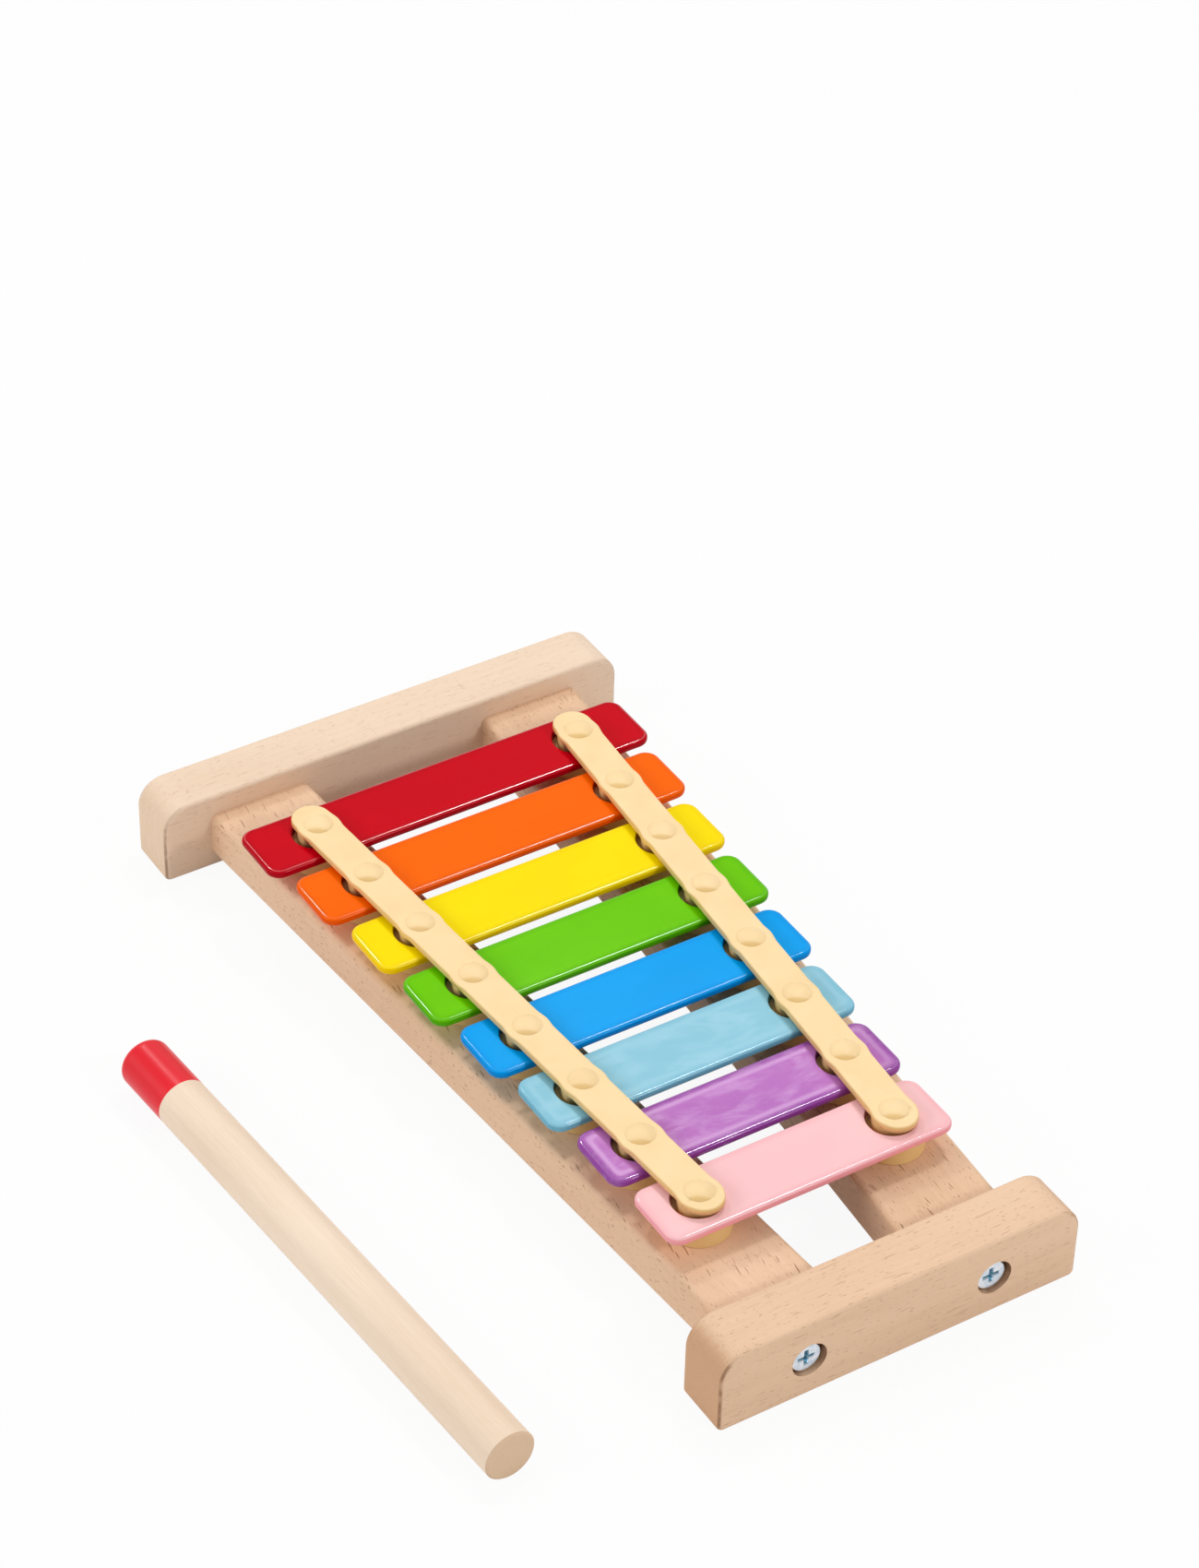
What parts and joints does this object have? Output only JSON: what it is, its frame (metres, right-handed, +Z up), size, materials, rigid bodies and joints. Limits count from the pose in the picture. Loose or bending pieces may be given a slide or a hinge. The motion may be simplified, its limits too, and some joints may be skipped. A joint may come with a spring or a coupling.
{
  "type": "toy xylophone",
  "caption": "Toy bar instrument: coloured enamelled metal bars on a tapering beech frame, held by soft moulded straps, with a stick mallet lying in front.",
  "frame": {"origin": "centre of the footprint of the instrument and its mallet together, on the surface they stand on", "axes": "+X along the instrument from the low note to the high note, +Y away from the player, +Z up"},
  "size_m": [0.3, 0.2188, 0.0347],
  "materials": {
    "block_wood": "clear matt lacquer over beech",
    "rail_wood": "clear matt lacquer over beech",
    "mallet_wood": "sanded smooth, clear matt lacquer",
    "mallet_coat": "glossy dipped coat",
    "strap_soft": "soft moulded, smooth",
    "foot_soft": "soft moulded, smooth",
    "screw_zinc": "bright zinc plated",
    "bar_red": "glossy enamel",
    "bar_orange": "glossy enamel",
    "bar_yellow": "glossy enamel",
    "bar_green": "glossy enamel",
    "bar_blue": "glossy enamel",
    "bar_light_blue": "glossy enamel",
    "bar_purple": "glossy enamel",
    "bar_pink": "glossy enamel"
  },
  "bodies": {
    "frame": {"end_block_high": "block_wood", "end_block_low": "block_wood", "end_screws_high": "screw_zinc", "end_screws_low": "screw_zinc", "foot_back_blue": "foot_soft", "foot_back_green": "foot_soft", "foot_back_light_blue": "foot_soft", "foot_back_orange": "foot_soft", "foot_back_pink": "foot_soft", "foot_back_purple": "foot_soft", "foot_back_red": "foot_soft", "foot_back_yellow": "foot_soft", "foot_front_blue": "foot_soft", "foot_front_green": "foot_soft", "foot_front_light_blue": "foot_soft", "foot_front_orange": "foot_soft", "foot_front_pink": "foot_soft", "foot_front_purple": "foot_soft", "foot_front_red": "foot_soft", "foot_front_yellow": "foot_soft", "rail_back": "rail_wood", "rail_front": "rail_wood", "strap_back": "strap_soft", "strap_front": "strap_soft", "strap_screws_back": "screw_zinc", "strap_screws_front": "screw_zinc"},
    "bar_red": {"bar_red": "bar_red"},
    "bar_orange": {"bar_orange": "bar_orange"},
    "bar_yellow": {"bar_yellow": "bar_yellow"},
    "bar_green": {"bar_green": "bar_green"},
    "bar_blue": {"bar_blue": "bar_blue"},
    "bar_light_blue": {"bar_light_blue": "bar_light_blue"},
    "bar_purple": {"bar_purple": "bar_purple"},
    "bar_pink": {"bar_pink": "bar_pink"},
    "mallet": {"mallet_stick": "mallet_wood", "mallet_coat": "mallet_coat"}
  },
  "joints": [
    {"name": "bar_red_lift", "type": "slide", "parent": "frame", "child": "bar_red", "axis": [0, 0, 1], "range_m": [0, 0.0011]},
    {"name": "bar_orange_lift", "type": "slide", "parent": "frame", "child": "bar_orange", "axis": [0, 0, 1], "range_m": [0, 0.0011]},
    {"name": "bar_yellow_lift", "type": "slide", "parent": "frame", "child": "bar_yellow", "axis": [0, 0, 1], "range_m": [0, 0.0011]},
    {"name": "bar_green_lift", "type": "slide", "parent": "frame", "child": "bar_green", "axis": [0, 0, 1], "range_m": [0, 0.0011]},
    {"name": "bar_blue_lift", "type": "slide", "parent": "frame", "child": "bar_blue", "axis": [0, 0, 1], "range_m": [0, 0.0011]},
    {"name": "bar_light_blue_lift", "type": "slide", "parent": "frame", "child": "bar_light_blue", "axis": [0, 0, 1], "range_m": [0, 0.0011]},
    {"name": "bar_purple_lift", "type": "slide", "parent": "frame", "child": "bar_purple", "axis": [0, 0, 1], "range_m": [0, 0.0011]},
    {"name": "bar_pink_lift", "type": "slide", "parent": "frame", "child": "bar_pink", "axis": [0, 0, 1], "range_m": [0, 0.0011]},
    {"name": "mallet_lift", "type": "slide", "parent": "frame", "child": "mallet", "axis": [0, 0, 1], "range_m": [0, 0.06]}
  ]
}
